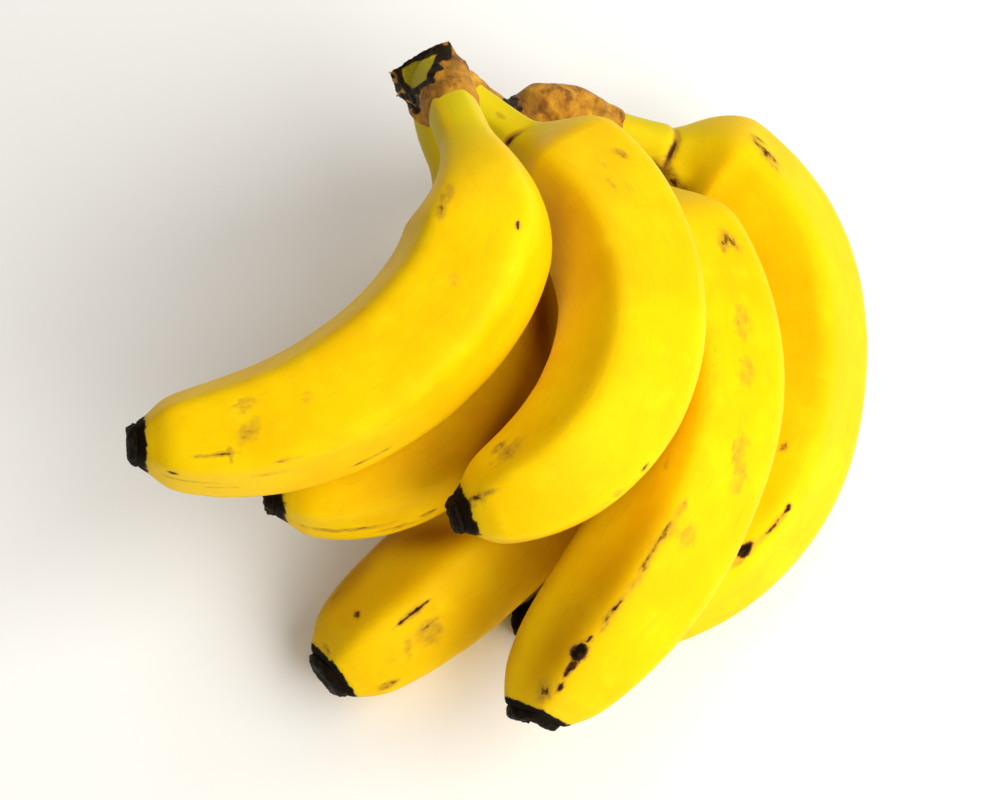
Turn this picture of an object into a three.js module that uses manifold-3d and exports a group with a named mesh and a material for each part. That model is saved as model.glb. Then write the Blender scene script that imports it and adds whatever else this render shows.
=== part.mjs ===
// A bunch of six bananas lying on its side, the bananas still grown together at the crown.
// Millimetres, +Z up. The bunch rests on z = 0 and the middle of its outline is over the origin.

import * as THREE from "three";
import Module from "manifold-3d";

const wasm = await Module();
wasm.setup();
const { Manifold, Mesh } = wasm;

// Gap left between neighbouring pieces
const CLEARANCE = 0.3;

// Section of a banana: five flats that meet in soft ridges
const FLATS = 5;
const SIDES = 4 * FLATS;
const FLATNESS = 9;
const FLAT_REACH = 0.94;

// Sections along each piece, set closer together near both ends
const BANANA_RINGS = 36;
const TIP_RINGS = 2;
const CROWN_RINGS = 12;
const END_CROWDING = 0.08;
const SPAN_STEPS = 24;

// Neck, dried tip and crown
const NECK_GROWTH = 1;
const TIP_LENGTH = 3;
const TIP_SHRINK = 0.2;
const CROWN_DOME = 5;
const CROWN_END_SHARE = 0.2;

const UPRIGHT = [0, 0, 1];
const LEANING = [0, -0.3, 0.95];

// girth is the thickness of the body, neck and shoulder are lengths from the crown outward,
// taper is the length over which the body narrows to the tip, and a higher blunt makes it slimmer.
// turn and twist set how the ridges lie round the body, in degrees, measured from the side
// that "over" leaves to the right. The path runs from the crown to the dried tip.
const BANANAS = [
  {
    number: 1, girth: 41.5, neck: 32, shoulder: 38, taper: 98, blunt: 0.44,
    neckRadius: 7, tipRadius: 6, turn: 18, twist: 0, over: LEANING,
    path: [
      [-17, 79, 92], [-12, 58, 102], [-6, 40, 108], [-2.5, 23.5, 108], [-8.5, 3.5, 102],
      [-25, -15, 96], [-49.5, -31.5, 92], [-75.5, -38.5, 92], [-100, -41.5, 96],
    ],
  },
  {
    number: 2, girth: 41, neck: 26, shoulder: 24, taper: 75, blunt: 0.5,
    neckRadius: 6.3, tipRadius: 5.4, turn: 69, twist: 0, over: LEANING,
    path: [
      [-14, 81, 82], [-4, 74, 79], [5, 66, 78], [19.5, 55, 80], [33.5, 34, 85.5],
      [40.5, 6, 88], [36.5, -20, 90], [23.5, -41.5, 90], [5.5, -53.5, 89], [-13, -60, 89],
    ],
  },
  {
    number: 3, girth: 39.5, neck: 26, shoulder: 30, taper: 70, blunt: 0.5,
    neckRadius: 7, tipRadius: 5.4, turn: 18, twist: 0, over: LEANING,
    path: [
      [-19, 81, 82], [-18, 78, 64], [-10, 68, 50], [-1, 50, 44], [1, 25, 45],
      [-8, -5, 49], [-24, -28.5, 54], [-46, -38.5, 57], [-67, -42, 59],
    ],
  },
  {
    number: 4, girth: 41, neck: 32, shoulder: 28, taper: 58, blunt: 0.5,
    neckRadius: 7, tipRadius: 8, turn: 84, twist: -35, over: LEANING,
    path: [
      [28, 90, 44], [36, 76, 47], [47, 58, 51.5], [60, 35, 53.5], [66, 8, 53],
      [63, -19, 55], [52, -45, 56], [37, -69, 54], [18, -88, 45], [9.5, -102, 40],
    ],
  },
  {
    number: 5, girth: 38.5, neck: 24.5, shoulder: 20, taper: 105, blunt: 0.72,
    neckRadius: 6.3, tipRadius: 5.4, turn: 64, twist: -56, over: UPRIGHT,
    path: [
      [31, 92, 44], [46, 88, 41], [57.5, 86, 38], [70.5, 84.5, 34], [91, 65, 26], [98, 36, 21.5],
      [95, 6, 20.5], [85.5, -21.5, 19], [69, -43, 18], [48, -56.5, 15], [27, -61, 10], [5, -61, 4],
    ],
  },
  {
    number: 6, girth: 41, neck: 26, shoulder: 30, taper: 50, blunt: 0.45,
    neckRadius: 7, tipRadius: 8, turn: 45, twist: 0, over: UPRIGHT,
    path: [
      [25, 92, 45], [30, 87, 33], [33, 73, 23], [34, 46, 19], [33, 14, 19],
      [19, -16, 19], [-2, -41, 19], [-28, -63, 19], [-51.5, -84, 19],
    ],
  },
];

// Corners of the cut face of the crown, and of the end of the block behind it
const CUT_FACE = [[-33, 84, 87], [-23, 85, 97], [-13.5, 85, 103], [-19.5, 72, 95.5], [-25, 70, 90.5]];
const CUT_BACK = [[-30.5, 80, 79], [-17, 86, 85], [-8, 80, 92], [-10, 74, 88], [-23, 74, 80]];

// The woody strip that joins the cut block to the necks at the far end, and its radius at each point
const STRIP = [
  [-16, 81, 83], [-8, 79, 74], [0, 78, 64], [7, 84, 57], [15, 95, 52], [26, 93.5, 48], [36, 91, 44],
];
const STRIP_RADII = [9, 9.5, 9, 8.5, 8.5, 9, 7.5];

const COLORS = { peel: 0xf2c80f, crown: 0xa8742a, tip: 0x1c1410 };

// Point of the smooth line on the span between the second and third of four guide points
function splinePoint([a, b, c, d], t) {
  return new THREE.Vector3()
    .addScaledVector(a, (1 - t) ** 3 / 6)
    .addScaledVector(b, (3 * t ** 3 - 6 * t ** 2 + 4) / 6)
    .addScaledVector(c, (-3 * t ** 3 + 3 * t ** 2 + 3 * t + 1) / 6)
    .addScaledVector(d, t ** 3 / 6);
}

// Smooth line that starts and ends on the outer guide points and is drawn toward those between.
// at(s) gives the place and the direction at the distance s along it.
function smoothLine(path) {
  const inner = path.map((p) => new THREE.Vector3(...p));
  const before = inner[0].clone().multiplyScalar(2).sub(inner[1]);
  const after = inner.at(-1).clone().multiplyScalar(2).sub(inner.at(-2));
  const guides = [before, ...inner, after];
  const places = [];
  for (let i = 0; i + 3 < guides.length; i++) {
    for (let k = 0; k < SPAN_STEPS; k++) {
      places.push(splinePoint(guides.slice(i, i + 4), k / SPAN_STEPS));
    }
  }
  places.push(inner.at(-1));
  const reach = [0];
  for (let i = 1; i < places.length; i++) {
    reach.push(reach[i - 1] + places[i].distanceTo(places[i - 1]));
  }
  const at = (s) => {
    const found = reach.findIndex((r) => r >= s);
    const i = found < 0 ? places.length - 1 : Math.max(found, 1);
    const share = (s - reach[i - 1]) / (reach[i] - reach[i - 1]);
    const place = places[i - 1].clone().lerp(places[i], share);
    const behind = places[Math.max(i - 2, 0)];
    const ahead = places[Math.min(i + 1, places.length - 1)];
    return { place, direction: ahead.clone().sub(behind).normalize() };
  };
  return { length: reach.at(-1), at };
}

// Distance from the middle to the skin of a five-sided section, for a mean radius of one.
// The angle is measured from the middle of a flat.
function sectionReach(angle) {
  let sum = 0;
  for (let k = 0; k < FLATS; k++) {
    sum += Math.max(Math.cos(angle - (2 * Math.PI * k) / FLATS), 0) ** FLATNESS;
  }
  return FLAT_REACH * sum ** (-1 / FLATNESS);
}

const meanOf = (points) =>
  points.reduce((sum, p) => sum.add(p), new THREE.Vector3()).divideScalar(points.length);

// Closed solid through rings of points, each with the same number of points
function loft(rings) {
  const count = rings[0].length;
  const points = [...rings.flat(), meanOf(rings[0]), meanOf(rings.at(-1))];
  const startMiddle = points.length - 2;
  const endMiddle = points.length - 1;
  const lastRing = (rings.length - 1) * count;
  const faces = [];
  for (let k = 0; k < count; k++) {
    const next = (k + 1) % count;
    faces.push(startMiddle, next, k);
    faces.push(endMiddle, lastRing + k, lastRing + next);
    for (let i = 0; i + 1 < rings.length; i++) {
      const here = i * count;
      const there = here + count;
      faces.push(here + k, here + next, there + next);
      faces.push(here + k, there + next, there + k);
    }
  }
  const vertProperties = new Float32Array(points.flatMap((p) => [p.x, p.y, p.z]));
  return new Manifold(new Mesh({ numProp: 3, vertProperties, triVerts: new Uint32Array(faces) }));
}

// Ring of points round the line at s, the first one turned by turn from the side that over leaves
// to the right; reachAt gives the distance to the skin for an angle from that first point
function ringAt(line, s, over, turn, reachAt) {
  const { place, direction } = line.at(s);
  const upward = new THREE.Vector3(...over);
  upward.addScaledVector(direction, -upward.dot(direction)).normalize();
  const sideways = new THREE.Vector3().crossVectors(upward, direction);
  const ring = [];
  for (let k = 0; k < SIDES; k++) {
    const fromFirst = (2 * Math.PI * k) / SIDES;
    const angle = turn + fromFirst;
    const reach = reachAt(fromFirst);
    ring.push(
      place.clone()
        .addScaledVector(sideways, reach * Math.cos(angle))
        .addScaledVector(upward, reach * Math.sin(angle)),
    );
  }
  return ring;
}

// Places from start to end, closer together near both
function stations(start, end, count) {
  return Array.from({ length: count + 1 }, (_, i) => {
    const share = i / count;
    return start + (end - start) * (share - END_CROWDING * Math.sin(2 * Math.PI * share));
  });
}

function bodyRadius(banana, s, end) {
  const neck = banana.neckRadius + NECK_GROWTH * Math.min(s / banana.neck, 1);
  const swell = THREE.MathUtils.smoothstep(s, banana.neck, banana.neck + banana.shoulder);
  const body = neck + (banana.girth / 2 - neck) * swell;
  const fromTip = THREE.MathUtils.clamp((end - s) / banana.taper, 0, 1);
  return banana.tipRadius + (body - banana.tipRadius) * (1 - (1 - fromTip) ** 2) ** banana.blunt;
}

// Part of a banana between two places on its line, its radius from radiusAt, made larger by grow
function bananaSolid(banana, line, start, end, count, radiusAt, grow = 0) {
  const rings = stations(start, end, count).map((s) => {
    const turn = THREE.MathUtils.degToRad(banana.turn + (banana.twist * s) / line.length);
    const radius = radiusAt(s);
    return ringAt(line, s, banana.over, turn, (angle) => radius * sectionReach(angle) + grow);
  });
  return loft(rings);
}

// The crown: the cut block joined to the woody strip, made larger by grow
function crownSolid(grow = 0) {
  const corners = [...CUT_FACE, ...CUT_BACK].map((p) => new THREE.Vector3(...p));
  const middle = meanOf(corners);
  const outward = (p) => p.clone().sub(middle).normalize();
  const block = Manifold.hull(corners.map((p) => p.clone().addScaledVector(outward(p), 2 * grow).toArray()));

  const line = smoothLine(STRIP);
  const rings = stations(0, line.length, CROWN_RINGS).map((s) => {
    const along = (s / line.length) * (STRIP_RADII.length - 1);
    const i = Math.min(Math.floor(along), STRIP_RADII.length - 2);
    const radius = THREE.MathUtils.lerp(STRIP_RADII[i], STRIP_RADII[i + 1], along - i);
    const fromEnd = THREE.MathUtils.clamp((line.length - s) / CROWN_DOME, CROWN_END_SHARE, 1);
    const dome = Math.sqrt(1 - (1 - fromEnd) ** 2);
    return ringAt(line, s, UPRIGHT, 0, () => radius * dome + grow);
  });
  return Manifold.union(block, loft(rings));
}

function largestPiece(solid) {
  return solid.decompose().reduce((best, piece) => (piece.volume() > best.volume() ? piece : best));
}

const aboveTable = (solid) => solid.trimByPlane([0, 0, 1], 0);

function meshOf(name, solid, color) {
  const { vertProperties, triVerts } = solid.getMesh();
  const geometry = new THREE.BufferGeometry();
  geometry.setAttribute("position", new THREE.BufferAttribute(vertProperties, 3));
  geometry.setIndex(new THREE.BufferAttribute(triVerts, 1));
  geometry.computeVertexNormals();
  const mesh = new THREE.Mesh(geometry, new THREE.MeshStandardMaterial({ color, roughness: 0.55 }));
  mesh.name = name;
  return mesh;
}

const bunch = new THREE.Group();
bunch.name = "banana_bunch";
bunch.add(meshOf("crown", crownSolid(), COLORS.crown));

// Each banana is cleared round the crown and round the bananas before it, where the necks crowd
const taken = [crownSolid(CLEARANCE)];
for (const banana of BANANAS) {
  const line = smoothLine(banana.path);
  const end = line.length - TIP_LENGTH;
  const radiusAt = (s) => bodyRadius(banana, s, end);
  const body = bananaSolid(banana, line, 0, end, BANANA_RINGS, radiusAt);
  const cleared = taken.reduce((solid, other) => solid.subtract(other), body);
  bunch.add(meshOf(`banana_${banana.number}`, aboveTable(largestPiece(cleared)), COLORS.peel));
  taken.push(bananaSolid(banana, line, 0, end, BANANA_RINGS, radiusAt, CLEARANCE));

  const tipRadiusAt = (s) => banana.tipRadius * (1 - (TIP_SHRINK * (s - end)) / TIP_LENGTH);
  const tip = bananaSolid(banana, line, end + CLEARANCE, line.length, TIP_RINGS, tipRadiusAt);
  bunch.add(meshOf(`tip_${banana.number}`, aboveTable(tip), COLORS.tip));
}

const box = new THREE.Box3().setFromObject(bunch);
const centre = box.getCenter(new THREE.Vector3());
bunch.position.set(-centre.x, -centre.y, -box.min.z);
bunch.updateMatrixWorld(true);

export default bunch;
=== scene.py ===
"""The bunch of bananas, dressed: skins with their marks, dried tips, corky crown, floor, lights and camera.

Lengths are in millimetres until a mesh is made. Each banana follows the same line as its CAD node. Places
in the photograph are in pixels, across from its left edge and down from its top edge.
"""

import math

import bmesh
import bpy
import numpy as np
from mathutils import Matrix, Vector


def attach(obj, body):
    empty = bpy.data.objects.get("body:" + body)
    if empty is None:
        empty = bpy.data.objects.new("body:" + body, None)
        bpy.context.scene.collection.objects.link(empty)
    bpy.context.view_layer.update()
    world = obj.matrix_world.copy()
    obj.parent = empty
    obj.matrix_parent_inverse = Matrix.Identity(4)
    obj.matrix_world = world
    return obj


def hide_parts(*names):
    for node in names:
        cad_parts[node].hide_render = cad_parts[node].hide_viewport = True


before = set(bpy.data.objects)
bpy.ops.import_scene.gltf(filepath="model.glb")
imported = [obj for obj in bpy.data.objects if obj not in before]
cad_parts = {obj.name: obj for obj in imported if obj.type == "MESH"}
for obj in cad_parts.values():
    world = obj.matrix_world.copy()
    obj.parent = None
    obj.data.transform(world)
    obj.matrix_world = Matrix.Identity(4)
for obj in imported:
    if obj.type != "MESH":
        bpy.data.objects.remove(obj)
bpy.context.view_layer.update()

MM = 0.001

# The CAD sets the middle of the bunch's outline over the origin, this far from where the lines are drawn
CENTRING = np.array([-8.1, 1.6, 0.0])

# Camera: it looks along +Y and down, from this height angle and distance
PHOTO_WIDTH = 1000
PHOTO_HEIGHT = 800
CAMERA_ELEVATION = math.radians(65)
CAMERA_DISTANCE = 620.0
CAMERA_TARGET = np.array([0.0, 0.0, 45.0]) + CENTRING
PIXELS_PER_MM = 3.33
AIM_PIXEL = (497.0, 385.0)
SENSOR_WIDTH = 36.0
TO_CAMERA = np.array([0.0, -math.cos(CAMERA_ELEVATION), math.sin(CAMERA_ELEVATION)])
CAMERA_UP = np.array([0.0, math.sin(CAMERA_ELEVATION), math.cos(CAMERA_ELEVATION)])
CAMERA_RIGHT = np.array([1.0, 0.0, 0.0])
CAMERA_PLACE = CAMERA_TARGET + CAMERA_DISTANCE * TO_CAMERA

# Section of a banana: number of flats, how flat they are, and how far out they lie for a mean radius of one
FLATS = 5
FLATNESS = 9.0
FLAT_REACH = 0.94

# How much a neck widens toward the body, the length of a dried tip, and the length that rounds off a skin
NECK_GROWTH = 1.0
TIP_LENGTH = 3.0
SKIN_CLOSING = 1.2

# The edges between the flats show this much on the neck, and in full this far past the shoulder
NECK_EDGES = 0.4
EDGES_RUN = 15

# Just before its tip a banana draws in by one of these shares, over this length. From this radius on a tip
# is broad
SLIM_PINCH = 0.6
BROAD_PINCH = 0.3
PINCH_LENGTH = 5
BROAD_TIP = 7

# The skin of a slanted end starts to run on this far before the tip
SLANT_RUN = 12

# Unevenness of a skin: dents on the body and ripples all over, each with its depth and wave lengths
DENT_DEPTH = 0.45
DENT_LENGTHS = (60, 35, 22)
RIPPLE_DEPTH = 0.12
RIPPLE_LENGTHS = (12, 7)

# The fold that ends a neck: a low rim before its line, a groove after it and the painted shade in the
# groove
FOLD_RIM_HEIGHT = 0.4
FOLD_RIM_BEFORE = 3.5
FOLD_RIM_LENGTH = 2.6
GROOVE_AFTER = 0.6
GROOVE_DEPTH = 1.5
GROOVE_LENGTH = 1.2
GROOVE_SHADE = 1.15
GROOVE_SHADE_LENGTH = 1.3

# The fold's line wavers by this much, and its slant moves it by this much at most
FOLD_WAVER = 0.5
FOLD_SLANT_LIMIT = 4

# A mark shows in full out to the first share of its half size, and not at all past the second
MARK_FULL = 0.75
MARK_END = 2.0

# Green skin starts to fade at this share of the neck, over the neck's length and this much more
GREEN_FROM = 0.6
GREEN_RUN = 12

# The cork on a neck starts to fade this far before the end of its woody part, over this length
CORK_LEAD = 6
CORK_RUN = 4

# Smallest radius and height of a skin's points, so that rings don't close fully and stay over the floor
LEAST_RADIUS = 0.01
LEAST_HEIGHT = 0.02

# Fineness of the skins
SECTIONS = 280
SIDES = 120

# Distance between the bananas in the space that the patterns are read from, so that no two look alike
PATTERN_STEP = 137.0

# Seeds of the waves; those of the ripples and the stubs are added to the banana's number
RIPPLE_SEED = 20
STUB_SEED = 40
RAGGED_SEED = 61
CORK_SEED = 62
RIBS_SEED = 63

UPRIGHT = (0.0, 0.0, 1.0)
LEANING = (0.0, -0.3, 0.95)

# The bananas, with sizes and lines as in the CAD.
# crease: the fold that ends the neck, its groove darkened with painted shade, strongest near this pixel,
# fading over this many pixels and slanting by this many millimetres a pixel.
# worn: how scuffed the ridges are.
# woody: how far the crown's cork runs down the neck.
# charred: length of skin that blackens toward the tip.
# bulges: places that swell, each (pixel across, pixel down, reach in pixels, height).
# slant: how far the end runs on at its left.
# deep: painted shade in rusty red where bananas lie close together, each (pixel across, pixel down, half
# length, half width, turn in degrees, strength), its half length and half width in pixels.
# marks: blemishes, the same way, but with the half length and half width in millimetres.
BANANAS = [
    dict(
        number=1, girth=41.5, neck=32, shoulder=38, taper=98, blunt=0.44, neck_radius=7, tip_radius=6,
        turn=18, twist=0, over=LEANING, crease=None, worn=0.25, woody=24, charred=5,
        bulges=[], slant=0, deep=[],
        path=[(-17, 79, 92), (-12, 58, 102), (-6, 40, 108), (-2.5, 23.5, 108), (-8.5, 3.5, 102),
              (-25, -15, 96), (-49.5, -31.5, 92), (-75.5, -38.5, 92), (-100, -41.5, 96)],
        marks=[(445, 200, 5, 1.6, 0, 0.75), (519, 224, 1.2, 0.8, 0, 1.1), (455, 280, 2.5, 1.5, 30, 0.5),
               (248, 432, 3.5, 2.2, 40, 0.65), (243, 406, 4, 1.6, 0, 0.6), (306, 395, 1.6, 1.2, 0, 0.55),
               (215, 456, 5, 0.6, 0, 0.85), (230, 452, 0.8, 2.6, 0, 0.8), (200, 455, 1.5, 0.6, 0, 0.9),
               (174, 473, 1.6, 0.7, 0, 1.1), (190, 481, 6, 0.5, 0, 0.8), (222, 487, 4, 0.5, 0, 0.7),
               (288, 459, 3.5, 0.7, 0, 0.8), (272, 474, 5, 0.8, 0, 0.6), (370, 458, 6, 0.7, 0, 0.8)],
    ),
    dict(
        number=2, girth=41, neck=26, shoulder=24, taper=75, blunt=0.5, neck_radius=6.3, tip_radius=5.4,
        turn=69, twist=0, over=LEANING, crease=(514, 143, 17, 0.13), worn=0.3, woody=7, charred=6,
        bulges=[], slant=0, deep=[],
        path=[(-14, 81, 82), (-4, 74, 79), (5, 66, 78), (19.5, 55, 80), (33.5, 34, 85.5),
              (40.5, 6, 88), (36.5, -20, 90), (23.5, -41.5, 90), (5.5, -53.5, 89), (-13, -60, 89)],
        marks=[(480, 497, 5, 0.9, -10, 0.9), (508, 452, 4, 2.6, 0, 0.75), (499, 447, 2, 1.2, 0, 0.8),
               (478, 499, 3, 1.5, 0, 0.6), (619, 153, 2.6, 1.2, 20, 0.75), (602, 164, 2, 1, 0, 0.55),
               (612, 186, 3, 1, 0, 0.5), (630, 188, 2, 1, 0, 0.5), (644, 468, 1.6, 0.8, 0, 1.0),
               (620, 493, 2, 1, 0, 0.8), (600, 507, 3, 0.8, 0, 0.6), (500, 115, 1.6, 0.8, 0, 0.7)],
    ),
    dict(
        number=3, girth=39.5, neck=26, shoulder=30, taper=70, blunt=0.5, neck_radius=7, tip_radius=5.4,
        turn=18, twist=0, over=LEANING, crease=None, worn=0.35, woody=10, charred=6,
        bulges=[], slant=0, deep=[(543, 325, 50, 12, 88, 0.9), (500, 434, 75, 13, 124, 0.9)],
        path=[(-19, 81, 82), (-18, 78, 64), (-10, 68, 50), (-1, 50, 44), (1, 25, 45),
              (-8, -5, 49), (-24, -28.5, 54), (-46, -38.5, 57), (-67, -42, 59)],
        marks=[(352, 530, 12, 1.2, 0, 0.75), (395, 527, 6, 1, 0, 0.7), (428, 513, 2.5, 1, 0, 0.9),
               (318, 529, 6, 1, 0, 0.6)],
    ),
    dict(
        number=4, girth=41, neck=32, shoulder=28, taper=58, blunt=0.5, neck_radius=7, tip_radius=8,
        turn=84, twist=-35, over=LEANING, crease=None, worn=0.75, woody=5, charred=3.5,
        bulges=[], slant=2.5, deep=[(600, 590, 110, 20, 125, 0.4), (548, 655, 50, 20, 110, 0.25)],
        path=[(28, 90, 44), (36, 76, 47), (47, 58, 51.5), (60, 35, 53.5), (66, 8, 53),
              (63, -19, 55), (52, -45, 56), (37, -69, 54), (18, -88, 45), (9.5, -102, 40)],
        marks=[(730, 239, 4, 1.4, 25, 0.8), (722, 246, 2.5, 1.2, 0, 0.75), (743, 322, 5, 2.4, 0, 0.65),
               (746, 372, 5, 2.4, 0, 0.6), (738, 450, 5, 2.6, 0, 0.65), (740, 478, 4.5, 2.6, 0, 0.6),
               (687, 535, 3.5, 2.8, 0, 0.6), (680, 508, 3, 1, 0, 0.8), (669, 530, 4, 1, 0, 0.75),
               (619, 603, 2.4, 0.7, 10, 1.1), (611, 614, 3, 0.9, 0, 0.85), (604, 626, 2, 0.7, 0, 0.8),
               (589, 637, 1.0, 0.7, 0, 1.3), (580, 653, 2.6, 1.9, 0, 1.35), (573, 664, 2.8, 1.2, 0, 1.0),
               (568, 673, 2.2, 0.8, 0, 0.95), (560, 686, 1.8, 0.8, 0, 1.05), (543, 692, 3.4, 2.2, 0, 0.75),
               (634, 582, 6, 0.9, 0, 0.8), (655, 545, 8, 0.9, 0, 0.75), (668, 462, 3, 1, 0, 0.6)],
    ),
    dict(
        number=5, girth=38.5, neck=24.5, shoulder=20, taper=105, blunt=0.72, neck_radius=6.3,
        tip_radius=5.4, turn=64, twist=-56, over=UPRIGHT, crease=(670, 150, 26, 0.0), worn=0.4, woody=9,
        # Its long charred length is partly painted shade: the blackened skin also fills the dark gap
        # between its neighbours
        charred=22,
        bulges=[(670, 180, 14, 4.4), (546, 592, 14, 2.0)], slant=0, deep=[],
        path=[(31, 92, 44), (46, 88, 41), (57.5, 86, 38), (70.5, 84.5, 34), (91, 65, 26),
              (98, 36, 21.5), (95, 6, 20.5), (85.5, -21.5, 19), (69, -43, 18), (48, -56.5, 15),
              (27, -61, 10), (5, -61, 4)],
        marks=[(764, 150, 6, 1.6, 0, 0.9), (758, 138, 3, 1, 0, 0.8), (770, 162, 4, 1.4, 0, 0.7),
               (745, 549, 3, 1.6, 0, 1.1), (738, 560, 3, 1.2, 0, 0.8), (776, 525, 6, 0.9, 0, 0.9),
               # The first three marks on the next line darken the crevice by the neck with painted shade
               (663, 166, 3.2, 2.4, 0, 0.8), (671, 178, 3.4, 2.2, 0, 0.85), (680, 188, 3.0, 2.0, 0, 0.75),
               (787, 507, 1.2, 1, 0, 1.1), (783, 448, 1.6, 1, 0, 0.9), (760, 540, 6, 0.9, 0, 0.8)],
    ),
    dict(
        number=6, girth=41, neck=26, shoulder=30, taper=50, blunt=0.45, neck_radius=7, tip_radius=8,
        turn=45, twist=0, over=UPRIGHT, crease=None, worn=0.35, woody=5, charred=3,
        bulges=[], slant=0,
        deep=[(432, 534, 64, 16, -5, 0.8), (352, 580, 42, 9, -50, 0.5), (385, 600, 80, 26, -38, 0.2)],
        path=[(25, 92, 45), (30, 87, 33), (33, 73, 23), (34, 46, 19), (33, 14, 19),
              (19, -16, 19), (-2, -41, 19), (-28, -63, 19), (-51.5, -84, 19)],
        marks=[(356, 615, 1.5, 0.9, 80, 1.0), (410, 617, 4.5, 0.8, 0, 1.15), (422, 607, 3, 0.6, 0, 0.85),
               (430, 632, 4, 3.6, 0, 0.75), (408, 645, 4, 1.2, 60, 0.55), (388, 684, 3, 1.1, 0, 0.9),
               (328, 649, 3, 0.6, 80, 0.75), (338, 593, 3, 1, 0, 0.6), (392, 657, 3, 1.4, 0, 0.5)],
    ),
]

# A stub's outline: share of the way from its root to its sunken end, and share of the tip's radius
STUB_OUTLINE = [(-0.45, 0.2), (-0.4, 0.9), (-0.15, 1.03), (0.15, 1.05), (0.4, 1.02), (0.62, 0.97),
                (0.8, 0.9), (0.95, 0.8), (1.0, 0.68), (0.93, 0.55), (0.8, 0.4), (0.7, 0.25),
                (0.66, 0.1), (0.66, 0.01)]
STUB_RINGS = 70
STUB_SIDES = 72

# The flats cut this share off a stub's radius. It is worn in by this much, give or take the spread
STUB_FLATS = 0.07
STUB_WEAR = 0.35
STUB_WEAR_SPREAD = 0.5
STUB_WEAR_LENGTHS = (4.5, 2.6, 1.5)

# Crown, as in the CAD: corners of the cut face and of the end of its block, then the woody strip
CUT_FACE = [(-33, 84, 87), (-23, 85, 97), (-13.5, 85, 103), (-19.5, 72, 95.5), (-25, 70, 90.5)]
CUT_BACK = [(-30.5, 80, 79), (-17, 86, 85), (-8, 80, 92), (-10, 74, 88), (-23, 74, 80)]
STRIP = [(-16, 81, 83), (-8, 79, 74), (0, 78, 64), (7, 84, 57), (15, 95, 52), (26, 93.5, 48), (36, 91, 44)]
STRIP_RADII = [9, 9.5, 9, 8.5, 8.5, 9, 7.5]

# A low knob on the strip
KNOB = [(5, 86, 60), (12, 91, 58), (20, 92, 54), (27, 90, 50)]
KNOB_RADII = [4, 7.5, 7.5, 4]

# Collars of cork round the necks: how far they run past the woody part, and how much wider than the neck
# they are at these shares of their length
COLLAR_RUN = 3
COLLAR_SHARES = [0, 0.33, 0.67, 1]
COLLAR_SWELLING = [2.2, 2.2, 1.9, -0.3]

# Length that rounds off the end of a tube, and the share of its size, squared, that the last ring keeps
TUBE_ROUNDING = 6
LAST_RING = 1e-4

# Fineness of the crown's mesh, and how often it is smoothed
CROWN_VOXEL = 0.5
CROWN_SMOOTHING = 20

# The colours of the cut go this deep under its face and fade over this length
CUT_DEPTH = 4.5
CUT_FADE = 2.5

# Where the photograph shows flesh in the cut face; in pixels too, the width of the black rim round it, the
# lengths over which flesh, rim and black spots fade, and how ragged their edges are
FLESH_OUTLINE = [(398, 68), (412, 61), (440, 49), (433, 61), (425, 79), (411, 91), (403, 82)]
RIM_WIDTH = 8.0
FLESH_FADE = 2.5
RIM_FADE = 4
SPOT_FADE = 3
RAGGEDNESS = 1.3
RAGGED_LENGTHS = (9, 5)
RIM_RAGGEDNESS = 1.6

# Relief of the cork, of its fine ribs, of the sunken flesh and of the rim
CORK_DEPTH = 0.7
CORK_LENGTHS = (14, 8, 5)
CORK_SQUASH = (1, 1, 1.4)
RIBS_DEPTH = 0.16
RIBS_LENGTHS = (3.2, 2.0)
FLESH_DEPTH = 1.0
RIM_RELIEF = 0.35

# The crown turns green near a neck: round a point this far past its woody part, in this reach and with
# this fade
GREEN_PAST = 4
GREEN_REACH = 9.0
GREEN_FADE = 4

# Black spots of the crown, each (pixel across, pixel down, pixels from middle to edge)
CHARRED_SPOTS = [(411, 102, 9), (415, 111, 6), (392, 76, 4), (396, 88, 6), (402, 98, 6), (452, 43, 6),
                 (446, 52, 9), (438, 66, 6), (432, 80, 4), (511, 101, 9), (520, 108, 5), (467, 60, 4)]

# Darker cork, the same way, and how dark it is
DARK_CORK_SPOTS = [(522, 99, 15), (538, 108, 10), (440, 88, 12), (455, 60, 8)]
DARK_CORK_STRENGTH = 0.6

# Soft round lights, their places and sizes in metres
LIGHTS = [
    dict(name="key", place=(0.74, -0.34, 0.80), size=1.2, power=15.0, colour=(1.0, 0.99, 0.93)),
    dict(name="fill", place=(0.55, -0.85, 0.75), size=0.7, power=4.2, colour=(1.0, 0.97, 0.9)),
    dict(name="back", place=(0.20, 0.85, 0.9), size=0.9, power=4.5, colour=(1.0, 0.98, 0.93)),
]
LIGHT_TARGET = (0, 0, 0.05)
WORLD_COLOUR = (1.0, 0.97, 0.93, 1)
WORLD_STRENGTH = 0.27
FLOOR_HALF = 4.0


def smooth_line(path, count, leave=0.0):
    """Points, directions and distances along the line that a path guides, but for a last part left out."""
    guides = np.array(path, float)
    guides = np.vstack([2 * guides[0] - guides[1], guides, 2 * guides[-1] - guides[-2]])
    t = np.linspace(0, 1, 40, endpoint=False)[:, None]
    # Each span is drawn from four guide points, with these weights
    first = (1 - t) ** 3
    second = 3 * t**3 - 6 * t**2 + 4
    third = -3 * t**3 + 3 * t**2 + 3 * t + 1
    fourth = t**3
    spans = [
        (first * a + second * b + third * c + fourth * d) / 6
        for a, b, c, d in zip(guides, guides[1:], guides[2:], guides[3:])
    ]
    places = np.vstack([*spans, guides[-2]])
    reach = np.concatenate([[0], np.cumsum(np.linalg.norm(np.diff(places, axis=0), axis=1))])
    s = np.linspace(0, reach[-1] - leave, count)
    centre = np.stack([np.interp(s, reach, places[:, k]) for k in range(3)], axis=1)
    direction = np.gradient(centre, axis=0)
    direction /= np.linalg.norm(direction, axis=1, keepdims=True)
    return centre, direction, s


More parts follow.
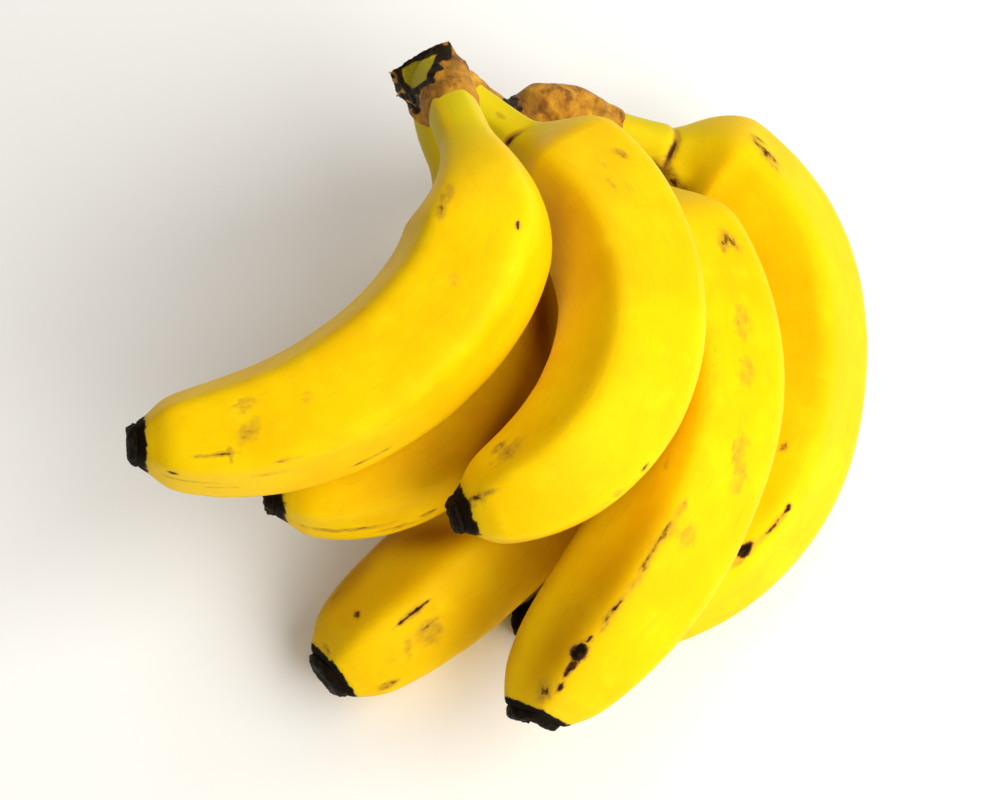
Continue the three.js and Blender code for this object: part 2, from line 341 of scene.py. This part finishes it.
def section_reach(angle):
    """Distance from the middle to the skin of the five-sided section, for a mean radius of one."""
    total = np.zeros_like(angle)
    for k in range(FLATS):
        total += np.clip(np.cos(angle - 2 * np.pi * k / FLATS), 0, None) ** FLATNESS
    return FLAT_REACH * total ** (-1 / FLATNESS)


def ease(x):
    """Smooth step from 0 at 0 to 1 at 1."""
    x = np.clip(x, 0, 1)
    return x * x * (3 - 2 * x)


def bell(x, middle, width):
    """1 in the middle, falling off smoothly over this width on both sides."""
    return np.exp(-(((x - middle) / width) ** 2))


def body_radius(banana, s, end):
    """Mean radius of a banana at distances along its line, from neck to tip."""
    neck = banana["neck_radius"] + NECK_GROWTH * np.clip(s / banana["neck"], 0, 1)
    body = neck + (banana["girth"] / 2 - neck) * ease((s - banana["neck"]) / banana["shoulder"])
    from_tip = np.clip((end - s) / banana["taper"], 0, 1)
    fullness = (1 - (1 - from_tip) ** 2) ** banana["blunt"]
    return banana["tip_radius"] + (body - banana["tip_radius"]) * fullness


def waves(points, lengths, seed):
    """Smooth seeded unevenness between about -1 and 1, as a sum of waves of these lengths."""
    source = np.random.default_rng(seed)
    total = np.zeros(points.shape[:-1])
    for length in lengths:
        for _ in range(5):
            way = source.normal(size=3)
            way /= np.linalg.norm(way)
            total += np.sin(points @ way * 2 * np.pi / length + source.uniform(0, 2 * np.pi))
    return total / (2.2 * math.sqrt(5 * len(lengths)))


def dips(points, lengths, seed):
    """The same waves between about 0 and 1."""
    return 0.5 + 0.5 * waves(points, lengths, seed)


def point_along(distance, s, centre):
    """The point at this distance along a line."""
    return np.array([np.interp(distance, s, centre[:, k]) for k in range(3)])


def frames_along(direction, over):
    """Upward and sideways directions square to the line."""
    over = np.array(over, float)
    upward = over - (direction @ over)[:, None] * direction
    upward /= np.linalg.norm(upward, axis=1, keepdims=True)
    return upward, np.cross(upward, direction)


def grid_faces(rows, columns):
    """Quads over rows of points that close round, each column next to the following one."""
    i, j = np.meshgrid(np.arange(rows - 1), np.arange(columns), indexing="ij")
    here = i * columns + j
    beside = i * columns + (j + 1) % columns
    return np.stack([here, beside, beside + columns, here + columns], axis=-1).reshape(-1, 4).tolist()


def make_object(name, points, faces, attributes, material, nodes):
    """A smooth mesh from points in millimetres, standing for CAD nodes."""
    mesh = bpy.data.meshes.new(name)
    mesh.from_pydata((points + CENTRING) * MM, [], faces)
    mesh.polygons.foreach_set("use_smooth", np.ones(len(mesh.polygons), bool))
    for key, values in attributes.items():
        values = np.asarray(values, np.float32)
        if values.ndim == 2:
            mesh.attributes.new(key, "FLOAT_VECTOR", "POINT").data.foreach_set("vector", values.ravel())
        else:
            mesh.attributes.new(key, "FLOAT", "POINT").data.foreach_set("value", values)
    mesh.materials.append(material)
    mesh.update()
    piece = bpy.data.objects.new(name, mesh)
    bpy.context.scene.collection.objects.link(piece)
    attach(piece, "root")
    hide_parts(*nodes)
    return piece


def to_pixels(points):
    """Where points, in millimetres, show in the photograph."""
    offset = points + CENTRING - CAMERA_PLACE
    depth = -(offset @ TO_CAMERA)
    scale = PIXELS_PER_MM * CAMERA_DISTANCE / depth
    return AIM_PIXEL[0] + (offset @ CAMERA_RIGHT) * scale, AIM_PIXEL[1] - (offset @ CAMERA_UP) * scale


def pixels_from(points, pixel_x, pixel_y):
    """How many pixels from a place in the photograph each point shows."""
    across, down = to_pixels(points)
    return np.hypot(across - pixel_x, down - pixel_y)


def blemishes(marks, points, directions, normals):
    """How strongly each point is marked; a mark lies along the banana unless it is turned."""
    least_facing = 0.1
    out_of_sight = 1000
    across, down = to_pixels(points)
    facing = normals @ TO_CAMERA > least_facing
    field = np.zeros(len(points))
    for pixel_x, pixel_y, half_length, half_width, turn, strength in marks:
        miss = np.hypot(across - pixel_x, down - pixel_y) + out_of_sight * ~facing
        nearest = miss.argmin()
        along = directions[nearest]
        aside = np.cross(normals[nearest], along)
        turned = math.radians(turn)
        lengthwise = math.cos(turned) * along + math.sin(turned) * aside
        sidewise = np.cross(normals[nearest], lengthwise)
        offset = points - points[nearest]
        distance = np.sqrt(
            (offset @ lengthwise / half_length) ** 2
            + (offset @ sidewise / half_width) ** 2
            + (offset @ normals[nearest] / half_length) ** 2
        )
        shown = np.clip((MARK_END - distance) / (MARK_END - MARK_FULL), 0, 1)
        field = np.maximum(field, strength * shown)
    return field


def slanting(banana, angle, before_end):
    """How far the skin and the stub run on past their end on the left side, where the end is slanted."""
    return banana["slant"] * np.clip(-np.cos(angle), 0, 1) * ease(1 - before_end / SLANT_RUN)


def painted_shade_between(banana, points):
    """How much painted shade, in rusty red, darkens the skin where bananas lie close together."""
    across, down = to_pixels(points)
    field = np.zeros(len(points))
    for pixel_x, pixel_y, half_length, half_width, turn, strength in banana["deep"]:
        turned = math.radians(turn)
        along = (across - pixel_x) * math.cos(turned) + (down - pixel_y) * math.sin(turned)
        aside = (down - pixel_y) * math.cos(turned) - (across - pixel_x) * math.sin(turned)
        field += strength * bell(np.hypot(along / half_length, aside / half_width), 0, 1)
    return np.clip(field, 0, 1)


def fold_at_neck(banana, places, angle, s):
    """How far the fold that ends a neck raises the skin, and how much painted shade darkens its groove."""
    if not banana["crease"]:
        return np.zeros(s.shape), np.zeros(s.shape)
    pixel_x, pixel_y, reach, slant = banana["crease"]
    across, down = to_pixels(places)
    shown = bell(np.hypot(across - pixel_x, down - pixel_y), 0, reach)
    # Pixels toward the photograph's upper right
    up_and_right = (across - pixel_x + pixel_y - down) * 0.7
    slanted = np.clip(slant * up_and_right, -FOLD_SLANT_LIMIT, FOLD_SLANT_LIMIT)
    line = banana["neck"] + FOLD_WAVER * np.sin(angle * 2 + banana["number"]) + slanted
    rim = FOLD_RIM_HEIGHT * bell(s, line - FOLD_RIM_BEFORE, FOLD_RIM_LENGTH)
    groove = GROOVE_DEPTH * bell(s, line + GROOVE_AFTER, GROOVE_LENGTH)
    shade = GROOVE_SHADE * bell(s, line + GROOVE_AFTER, GROOVE_SHADE_LENGTH)
    return (rim - groove) * shown, shade * shown


def swelling(banana, places, outward):
    """How far the bulges raise the skin; a bulge is nearly full at the outline and gone on the far side."""
    facing = ease(outward @ TO_CAMERA * 2 + 0.8)
    raised = np.zeros(facing.shape)
    for pixel_x, pixel_y, reach, height in banana["bulges"]:
        raised += height * facing * bell(pixels_from(places, pixel_x, pixel_y), 0, reach)
    return raised


def with_cap(rings):
    """Values of all rings in one row. Those of the first ring come twice, for the root's closed end too."""
    return np.concatenate([rings[:1], rings]).reshape(-1, *rings.shape[2:])


def build_banana(banana, material):
    """The skin: rings round the banana's line, each out to the uneven surface, closed at the root."""
    number, neck, shoulder = banana["number"], banana["neck"], banana["shoulder"]
    tip_radius = banana["tip_radius"]
    centre, direction, s = smooth_line(banana["path"], SECTIONS, TIP_LENGTH - SKIN_CLOSING)
    end = s[-1] - SKIN_CLOSING
    upward, sideways = frames_along(direction, banana["over"])
    angle = np.linspace(0, 2 * np.pi, SIDES, endpoint=False)
    s_grid, angle_grid = np.meshgrid(s, angle, indexing="ij")
    before_end = end - s_grid
    from_flat = angle_grid - np.radians(banana["turn"] + banana["twist"] * s_grid / s[-1])
    outward = (
        np.cos(angle_grid)[..., None] * sideways[:, None] + np.sin(angle_grid)[..., None] * upward[:, None]
    )

    edged = NECK_EDGES + (1 - NECK_EDGES) * ease((s_grid - neck) / (shoulder + EDGES_RUN))
    radius = body_radius(banana, s, end)[:, None] * (1 + (section_reach(from_flat) - 1) * edged)
    places = centre[:, None] + radius[..., None] * outward
    body = ease((s_grid - neck) / shoulder)

    pinch = (SLIM_PINCH if tip_radius < BROAD_TIP else BROAD_PINCH) * bell(before_end, 0, PINCH_LENGTH)
    radius -= (radius - tip_radius) * pinch * (before_end > 0)
    radius -= DENT_DEPTH * dips(places, DENT_LENGTHS, number) * body
    radius -= RIPPLE_DEPTH * dips(places, RIPPLE_LENGTHS, number + RIPPLE_SEED)
    raised, folded = fold_at_neck(banana, places, angle_grid, s_grid)
    radius += raised + swelling(banana, places, outward)
    radius *= np.sqrt(np.clip((s[-1] - s_grid) / SKIN_CLOSING, 0, 1))

    points = centre[:, None] + np.clip(radius, LEAST_RADIUS, None)[..., None] * outward
    points += slanting(banana, angle_grid, before_end)[..., None] * direction[:, None]
    root_end = np.broadcast_to(centre[0], (1, SIDES, 3))
    points = np.concatenate([root_end, points]).reshape(-1, 3)
    points[:, 2] = np.clip(points[:, 2], LEAST_HEIGHT, None)
    faces = grid_faces(SECTIONS + 1, SIDES)

    directions = np.broadcast_to(direction[:, None], outward.shape)
    straight = np.stack([s_grid, radius * np.cos(angle_grid), radius * np.sin(angle_grid)], axis=-1)
    ridge = 0.5 - 0.5 * np.cos(FLATS * from_flat)
    attributes = {
        "straight": with_cap(straight) + PATTERN_STEP * number,
        "mark": blemishes(banana["marks"], points, with_cap(directions), with_cap(outward)),
        "folded": with_cap(folded),
        "deep": painted_shade_between(banana, points),
        "ridge": with_cap(ridge * body * banana["worn"]),
        "young": with_cap(1 - ease((s_grid - neck * GREEN_FROM) / (neck + GREEN_RUN))),
        "root": with_cap(1 - ease((s_grid - banana["woody"] + CORK_LEAD) / CORK_RUN)),
        "stub": with_cap(ease((s_grid - end) / banana["charred"] + 1)),
    }
    name = f"banana_{number}"
    return make_object(f"{name}_skin", points, faces, attributes, material, [name])


def build_tip(banana, material):
    """The dried end of the flower: a short lobed stub with a sunken, ragged end."""
    number = banana["number"]
    centre, direction, s = smooth_line(banana["path"], 400)
    upward, sideways = frames_along(direction, banana["over"])
    end = s[-1] - TIP_LENGTH
    corners = np.arange(len(STUB_OUTLINE))
    fine = np.linspace(0, len(corners) - 1, STUB_RINGS)
    shares, sizes = [np.interp(fine, corners, column) for column in zip(*STUB_OUTLINE)]
    angle = np.linspace(0, 2 * np.pi, STUB_SIDES, endpoint=False)
    from_flat = angle - math.radians(banana["turn"] + banana["twist"])
    lobes = 1 - STUB_FLATS * (0.5 + 0.5 * np.cos(FLATS * from_flat))
    rings = []
    for place, size in zip(end + shares * TIP_LENGTH, sizes):
        nearest = min(int(round(place / s[-1] * (len(s) - 1))), len(s) - 1)
        outward = np.cos(angle)[:, None] * sideways[nearest] + np.sin(angle)[:, None] * upward[nearest]
        reach = banana["tip_radius"] * size * lobes
        ring = point_along(place, s, centre) + reach[:, None] * outward
        rings.append(ring + slanting(banana, angle, end - place)[:, None] * direction[nearest])
    points = np.array(rings)
    inward = centre[-1] - direction[-1] * TIP_LENGTH - points
    inward /= np.linalg.norm(inward, axis=-1, keepdims=True)
    wear = STUB_WEAR + STUB_WEAR_SPREAD * waves(points, STUB_WEAR_LENGTHS, number + STUB_SEED)
    points = (points + inward * wear[..., None]).reshape(-1, 3)
    points[:, 2] = np.clip(points[:, 2], LEAST_HEIGHT, None)
    faces = grid_faces(STUB_RINGS, STUB_SIDES)
    attributes = {"straight": points}
    name = f"tip_{number}"
    return make_object(f"{name}_stub", points, faces, attributes, material, [name])


def tube(path, radii, over, count, sides=40):
    """Closed tube along a path, its radius from one value for each point of the path."""
    centre, direction, s = smooth_line(path, count)
    upward, sideways = frames_along(direction, over)
    radius = np.interp(s / s[-1] * (len(radii) - 1), np.arange(len(radii)), radii)
    rounded = 1 - np.clip(1 - (s[-1] - s) / TUBE_ROUNDING, 0, 1) ** 2
    radius = radius * np.sqrt(rounded + LAST_RING)
    angle = np.linspace(0, 2 * np.pi, sides, endpoint=False)
    ring = np.cos(angle)[:, None, None] * sideways + np.sin(angle)[:, None, None] * upward
    points = (centre + radius[:, None] * ring).transpose(1, 0, 2).reshape(-1, 3)
    faces = grid_faces(count, sides)
    faces.append(list(range(sides))[::-1])
    faces.append([(count - 1) * sides + k for k in range(sides)])
    return points, faces


def crown_blank():
    """The block, the strip and a collar round each neck's root, joined and meshed evenly."""
    shape = bmesh.new()
    corners = [shape.verts.new(p) for p in CUT_FACE + CUT_BACK]
    bmesh.ops.convex_hull(shape, input=corners)
    bmesh.ops.subdivide_edges(shape, edges=shape.edges[:], cuts=3, use_grid_fill=True)
    parts = [tube(STRIP, STRIP_RADII, UPRIGHT, 60), tube(KNOB, KNOB_RADII, UPRIGHT, 24)]
    for banana in BANANAS:
        centre, _, s = smooth_line(banana["path"], 200)
        length = banana["woody"] + COLLAR_RUN
        root = [point_along(share * length, s, centre) for share in COLLAR_SHARES]
        radii = [banana["neck_radius"] + extra for extra in COLLAR_SWELLING]
        parts.append(tube(root, radii, banana["over"], 16))
    for points, faces in parts:
        placed = [shape.verts.new(p) for p in points]
        for face in faces:
            shape.faces.new([placed[k] for k in face])
    mesh = bpy.data.meshes.new("crown_blank")
    shape.to_mesh(mesh)
    shape.free()
    blank = bpy.data.objects.new("crown_blank", mesh)
    bpy.context.scene.collection.objects.link(blank)
    remesh = blank.modifiers.new("even", "REMESH")
    remesh.mode = "VOXEL"
    remesh.voxel_size = CROWN_VOXEL
    smooth = blank.modifiers.new("soft", "SMOOTH")
    smooth.factor = 0.5
    smooth.iterations = CROWN_SMOOTHING
    graph = bpy.context.evaluated_depsgraph_get()
    even = bpy.data.meshes.new_from_object(blank.evaluated_get(graph))
    points = np.empty(len(even.vertices) * 3)
    normals = np.empty(len(even.vertices) * 3)
    even.vertices.foreach_get("co", points)
    even.vertices.foreach_get("normal", normals)
    faces = [list(p.vertices) for p in even.polygons]
    bpy.data.objects.remove(blank)
    bpy.data.meshes.remove(mesh)
    bpy.data.meshes.remove(even)
    return points.reshape(-1, 3), normals.reshape(-1, 3), faces


def depth_inside(points, outline):
    """How many pixels inside an outline in the photograph each point shows; less than nothing outside."""
    place = np.stack(to_pixels(points), axis=-1)
    corners = np.array(outline, float)
    nearest = np.full(len(points), 1e9)
    inside = np.zeros(len(points), bool)
    for a, b in zip(corners, np.roll(corners, -1, axis=0)):
        side = b - a
        share = np.clip((place - a) @ side / (side @ side), 0, 1)
        nearest = np.minimum(nearest, np.linalg.norm(place - a - share[:, None] * side, axis=1))
        spans = (a[1] > place[:, 1]) != (b[1] > place[:, 1])
        crossing = a[0] + (place[:, 1] - a[1]) * side[0] / (side[1] or 1)
        inside ^= spans & (place[:, 0] < crossing)
    return np.where(inside, nearest, -nearest)


def build_crown(material):
    """The crown: flesh and a black rim on its cut, cork with ribs elsewhere, and green near the necks."""
    points, normals, faces = crown_blank()
    face = np.array(CUT_FACE, float)
    middle = face.mean(axis=0)
    cut_normal = np.linalg.svd(face - middle)[2][2]
    cut_normal *= np.sign(cut_normal @ TO_CAMERA)
    near_cut = ease((CUT_DEPTH - (middle - points) @ cut_normal) / CUT_FADE)
    inside = depth_inside(points, FLESH_OUTLINE)
    ragged = RAGGEDNESS * waves(points, RAGGED_LENGTHS, RAGGED_SEED)
    flesh = near_cut * ease((inside + ragged) / FLESH_FADE)
    rim = near_cut * ease((inside + RIM_WIDTH + RIM_RAGGEDNESS * ragged) / RIM_FADE) * (1 - flesh)
    for pixel_x, pixel_y, reach in CHARRED_SPOTS:
        miss = pixels_from(points, pixel_x, pixel_y) - ragged
        rim = np.maximum(rim, ease((reach - miss) / SPOT_FADE) * (normals @ TO_CAMERA > 0))

    cork = waves(points * CORK_SQUASH, CORK_LENGTHS, CORK_SEED)
    ribs = waves(points, RIBS_LENGTHS, RIBS_SEED)
    sunk = CORK_DEPTH * (0.5 + 0.5 * cork) + RIBS_DEPTH * (0.5 + 0.5 * ribs)
    sunk = sunk * (1 - flesh) + FLESH_DEPTH * flesh + RIM_RELIEF * rim * ribs
    points = points - normals * sunk[:, None]

    near_neck = np.zeros(len(points))
    for banana in BANANAS:
        centre, _, s = smooth_line(banana["path"], 80)
        distance = np.linalg.norm(points - point_along(banana["woody"] + GREEN_PAST, s, centre), axis=1)
        near_neck = np.maximum(near_neck, ease((GREEN_REACH - distance) / GREEN_FADE))
    hollow = 0.5 - 0.5 * cork
    for pixel_x, pixel_y, reach in DARK_CORK_SPOTS:
        hollow += DARK_CORK_STRENGTH * bell(pixels_from(points, pixel_x, pixel_y), 0, reach)
    attributes = {"straight": points, "flesh": flesh, "rim": rim, "young": near_neck, "hollow": hollow}
    return make_object("crown_wood", points, faces, attributes, material, ["crown"])


class Nodes:
    """Short calls for building a material's node tree."""

    def __init__(self, name):
        self.material = bpy.data.materials.new(name)
        self.material.use_nodes = True
        self.tree = self.material.node_tree
        self.shader = self.tree.nodes["Principled BSDF"]

    def link(self, source, target):
        self.tree.links.new(source, target)

    def read(self, name, output="Fac"):
        node = self.tree.nodes.new("ShaderNodeAttribute")
        node.attribute_name = name
        return node.outputs[output]

    def scaled(self, vector, scale):
        node = self.tree.nodes.new("ShaderNodeVectorMath")
        node.operation = "MULTIPLY"
        self.link(vector, node.inputs[0])
        node.inputs[1].default_value = scale
        return node.outputs[0]

    def noise(self, vector, scale, detail=4.0, roughness=0.55, distortion=0.0):
        node = self.tree.nodes.new("ShaderNodeTexNoise")
        self.link(vector, node.inputs["Vector"])
        node.inputs["Scale"].default_value = scale
        node.inputs["Detail"].default_value = detail
        node.inputs["Roughness"].default_value = roughness
        node.inputs["Distortion"].default_value = distortion
        return node.outputs["Fac"]

    def math(self, operation, first, second=0.0, third=0.0):
        node = self.tree.nodes.new("ShaderNodeMath")
        node.operation = operation
        for socket, value in zip(node.inputs, (first, second, third)):
            if isinstance(value, (int, float)):
                socket.default_value = value
            else:
                self.link(value, socket)
        return node.outputs[0]

    def times(self, first, second):
        return self.math("MULTIPLY", first, second)

    def ragged(self, value, pattern, amount):
        """The value, moved up and down by a pattern, by half this amount at most."""
        return self.math("ADD", value, self.times(self.math("SUBTRACT", pattern, 0.5), amount))

    def step(self, value, low, high):
        """0 below low, 1 above high, and smooth between."""
        node = self.tree.nodes.new("ShaderNodeMapRange")
        node.interpolation_type = "SMOOTHSTEP"
        self.link(value, node.inputs["Value"])
        node.inputs["From Min"].default_value = low
        node.inputs["From Max"].default_value = high
        return node.outputs["Result"]

    def mix(self, share, first, second):
        """Two colours mixed: the first where the share is 0, the second where it is 1."""
        node = self.tree.nodes.new("ShaderNodeMix")
        node.data_type = "RGBA"
        colours = [socket for socket in node.inputs if socket.type == "RGBA"]
        for socket, value in zip([node.inputs["Factor"], *colours], (share, first, second)):
            if isinstance(value, tuple):
                socket.default_value = (*value, 1)
            elif isinstance(value, (int, float)):
                socket.default_value = value
            else:
                self.link(value, socket)
        return next(socket for socket in node.outputs if socket.type == "RGBA")

    def bump(self, height, strength, distance):
        node = self.tree.nodes.new("ShaderNodeBump")
        node.inputs["Strength"].default_value = strength
        node.inputs["Distance"].default_value = distance * MM
        self.link(height, node.inputs["Height"])
        return node.outputs["Normal"]

    def finish(self, colour, roughness, normal, specular=0.1):
        self.link(colour, self.shader.inputs["Base Color"])
        self.link(roughness, self.shader.inputs["Roughness"])
        self.link(normal, self.shader.inputs["Normal"])
        self.shader.inputs["Specular IOR Level"].default_value = specular
        self.shader.inputs["Specular Tint"].default_value = GLOSS
        return self.material


# Colours as linear red, green and blue
YELLOW = (0.88, 0.56, 0.001)
DEEP_YELLOW = (0.84, 0.49, 0.001)
PALE_YELLOW = (0.90, 0.63, 0.004)
GREEN = (0.60, 0.53, 0.008)
OLIVE = (0.26, 0.25, 0.015)
# Painted shade between bananas
PAINTED_SHADE_RED = (0.27, 0.065, 0.001)
BRUISE_AND_SHADE = (0.42, 0.22, 0.02)
SCAR_AND_SHADE = (0.06, 0.018, 0.004)
DRIED = (0.004, 0.002, 0.002)
DRIED_BROWN = (0.014, 0.007, 0.006)
CORK = (0.50, 0.22, 0.018)
PALE_CORK = (0.68, 0.37, 0.03)
MIDDLE_CORK = (0.22, 0.075, 0.010)
DARK_CORK = (0.09, 0.026, 0.006)
FLESH = (0.50, 0.40, 0.008)
DARK_FLESH = (0.36, 0.31, 0.012)
PALE_FLOOR = (0.93, 0.93, 0.93)
GREY_FLOOR = (0.90, 0.90, 0.90)
GLOSS = (1.0, 0.85, 0.3, 1.0)


def peel_material():
    n = Nodes("peel")
    straight = n.read("straight", "Vector")
    lengthwise = n.scaled(straight, (0.12, 1, 1))

    # Broad patches of a deeper and of a paler yellow, with darker fibres along the banana
    colour = n.mix(n.step(n.noise(straight, 0.045, 3), 0.35, 0.65), DEEP_YELLOW, YELLOW)
    colour = n.mix(n.times(n.step(n.noise(straight, 0.11, 4), 0.5, 0.75), 0.5), colour, PALE_YELLOW)
    fibres = n.noise(lengthwise, 0.9, 5, 0.6)
    colour = n.mix(n.times(n.step(fibres, 0.52, 0.8), 0.22), colour, BRUISE_AND_SHADE)

    # Green at the neck, painted shade in rusty red between bananas, and olive toward the tip
    young = n.times(n.read("young"), n.step(n.noise(lengthwise, 0.16, 3), 0.1, 0.6))
    colour = n.mix(n.times(young, 0.8), colour, GREEN)
    colour = n.mix(n.read("deep"), colour, PAINTED_SHADE_RED)
    stub = n.read("stub")
    colour = n.mix(n.times(n.step(stub, 0.05, 0.9), 0.6), colour, OLIVE)

    # Small specks in loose groups
    specks = n.step(n.noise(straight, 0.75, 2, 0.5), 0.735, 0.80)
    specks = n.times(specks, n.step(n.noise(straight, 0.07, 2), 0.45, 0.6))
    colour = n.mix(n.times(specks, 0.55), colour, BRUISE_AND_SHADE)

    # Scuffs, most of them on the ridges
    grit = n.noise(n.scaled(straight, (0.45, 1, 1)), 0.85, 7, 0.68)
    scuff = n.math("ADD", n.times(n.read("ridge"), 0.34), n.times(grit, 0.9))
    scuff = n.times(n.step(scuff, 0.73, 0.86), n.step(n.noise(lengthwise, 0.22, 3), 0.45, 0.62))
    colour = n.mix(n.times(scuff, 0.6), colour, BRUISE_AND_SHADE)

    # Marks with broken edges: a bruise, a scar within it and a dried middle in the strongest
    breakup = n.noise(n.scaled(straight, (0.6, 1, 1)), 0.5, 5, 0.6)
    mark = n.ragged(n.read("mark"), breakup, 1.3)
    bruised = n.times(n.step(mark, 0.25, 0.95), 0.75)
    scarred = n.step(mark, 0.78, 1.02)
    colour = n.mix(bruised, colour, BRUISE_AND_SHADE)
    colour = n.mix(scarred, colour, SCAR_AND_SHADE)
    colour = n.mix(n.step(mark, 1.0, 1.25), colour, DRIED)

    # The fold at the end of a neck, its groove darkened with painted shade
    folded = n.ragged(n.read("folded"), breakup, 0.6)
    colour = n.mix(n.times(n.step(folded, 0.15, 0.6), 0.8), colour, BRUISE_AND_SHADE)
    colour = n.mix(n.step(folded, 0.6, 0.95), colour, SCAR_AND_SHADE)

    # Cork at the root and charred skin at the tip
    root = n.ragged(n.read("root"), grit, 0.9)
    colour = n.mix(n.step(root, 0.42, 0.75), colour, CORK)
    charring = n.ragged(stub, n.noise(straight, 0.35, 5), 0.9)
    charred = n.step(charring, 0.56, 0.72)
    colour = n.mix(n.step(charring, 0.46, 0.60), colour, SCAR_AND_SHADE)
    colour = n.mix(charred, colour, DRIED)

    # Blemished skin is duller and slightly sunken
    blemished = n.math("MAXIMUM", scarred, n.math("MAXIMUM", charred, n.times(bruised, 0.6)))
    roughness = n.math("MULTIPLY_ADD", blemished, 0.30, n.math("MULTIPLY_ADD", fibres, 0.12, 0.42))
    pores = n.noise(straight, 1.3, 3, 0.5)
    height = n.math("MULTIPLY_ADD", fibres, 0.5, n.times(pores, 0.5))
    height = n.math("SUBTRACT", height, n.times(blemished, 0.7))
    return n.finish(colour, roughness, n.bump(height, 0.5, 0.22))


def tip_material():
    n = Nodes("dried_tip")
    straight = n.read("straight", "Vector")
    grit = n.noise(straight, 0.5, 6, 0.65)
    colour = n.mix(n.step(grit, 0.45, 0.75), DRIED, DRIED_BROWN)
    roughness = n.math("MULTIPLY_ADD", n.noise(straight, 0.3, 3), 0.5, 0.3)
    height = n.noise(straight, 0.9, 6, 0.7)
    return n.finish(colour, roughness, n.bump(height, 0.7, 0.5), 0.08)


def crown_material():
    n = Nodes("crown_wood")
    straight = n.read("straight", "Vector")

    # Cork in three browns, darkest in its hollows
    grain = n.noise(n.scaled(straight, (1, 0.6, 0.5)), 0.22, 6, 0.62, 0.3)
    colour = n.mix(n.step(grain, 0.34, 0.52), MIDDLE_CORK, CORK)
    colour = n.mix(n.step(grain, 0.5, 0.68), colour, PALE_CORK)
    hollow = n.times(n.step(n.read("hollow"), 0.6, 1.0), 0.5)
    colour = n.mix(hollow, colour, DARK_CORK)

    # Green near the necks, then the black rim and the streaked flesh of the cut
    young = n.ragged(n.read("young"), grain, 0.9)
    colour = n.mix(n.step(young, 0.45, 0.75), colour, GREEN)
    rim = n.ragged(n.read("rim"), n.noise(straight, 0.5, 6, 0.6), 1.2)
    colour = n.mix(n.step(rim, 0.15, 0.6), colour, DARK_CORK)
    colour = n.mix(n.step(rim, 0.5, 0.95), colour, DRIED)
    streaks = n.noise(straight, 1.1, 4, 0.6)
    flesh = n.mix(n.step(streaks, 0.4, 0.75), FLESH, DARK_FLESH)
    colour = n.mix(n.step(n.read("flesh"), 0.35, 0.7), colour, flesh)

    roughness = n.math("MULTIPLY_ADD", grain, 0.3, 0.5)
    height = n.noise(straight, 0.8, 7, 0.7)
    return n.finish(colour, roughness, n.bump(height, 0.8, 0.6), 0.25)


def floor_material():
    n = Nodes("floor")
    place = n.tree.nodes.new("ShaderNodeTexCoord").outputs["Object"]
    grain = n.noise(place, 30, 3)
    colour = n.mix(n.times(grain, 0.1), PALE_FLOOR, GREY_FLOOR)
    roughness = n.math("MULTIPLY_ADD", grain, 0.1, 0.75)
    return n.finish(colour, roughness, n.bump(grain, 0.05, 0.1), 0.1)


def build_floor():
    corners = [(x * FLOOR_HALF, y * FLOOR_HALF, 0) for x, y in ((-1, -1), (1, -1), (1, 1), (-1, 1))]
    mesh = bpy.data.meshes.new("floor")
    mesh.from_pydata(corners, [], [(0, 1, 2, 3)])
    mesh.materials.append(floor_material())
    floor = bpy.data.objects.new("floor", mesh)
    bpy.context.scene.collection.objects.link(floor)


def aim(thing, place, target):
    """Puts a light or camera in its place and turns it to its target."""
    thing.location = Vector(place)
    thing.rotation_euler = (Vector(target) - Vector(place)).to_track_quat("-Z", "Y").to_euler()


def soft_light(name, place, size, power, colour):
    light = bpy.data.lights.new(name, "AREA")
    light.shape = "DISK"
    light.size = size
    light.energy = power
    light.color = colour
    lamp = bpy.data.objects.new(name, light)
    bpy.context.scene.collection.objects.link(lamp)
    aim(lamp, place, LIGHT_TARGET)


def build_world():
    world = bpy.data.worlds.new("studio")
    world.use_nodes = True
    background = world.node_tree.nodes["Background"]
    background.inputs["Color"].default_value = WORLD_COLOUR
    background.inputs["Strength"].default_value = WORLD_STRENGTH
    bpy.context.scene.world = world
    bpy.context.scene.view_settings.view_transform = "Standard"


def build_camera():
    camera = bpy.data.cameras.new("camera")
    camera.sensor_width = SENSOR_WIDTH
    camera.lens = PIXELS_PER_MM * CAMERA_DISTANCE * SENSOR_WIDTH / PHOTO_WIDTH
    camera.shift_x = (PHOTO_WIDTH / 2 - AIM_PIXEL[0]) / PHOTO_WIDTH
    camera.shift_y = (AIM_PIXEL[1] - PHOTO_HEIGHT / 2) / PHOTO_WIDTH
    holder = bpy.data.objects.new("camera", camera)
    bpy.context.scene.collection.objects.link(holder)
    aim(holder, CAMERA_PLACE * MM, CAMERA_TARGET * MM)
    bpy.context.scene.camera = holder


build_floor()
for light in LIGHTS:
    soft_light(**light)
build_world()
build_camera()
peel = peel_material()
dried = tip_material()
for banana in BANANAS:
    build_banana(banana, peel)
    build_tip(banana, dried)
build_crown(crown_material())

bpy.context.view_layer.update()
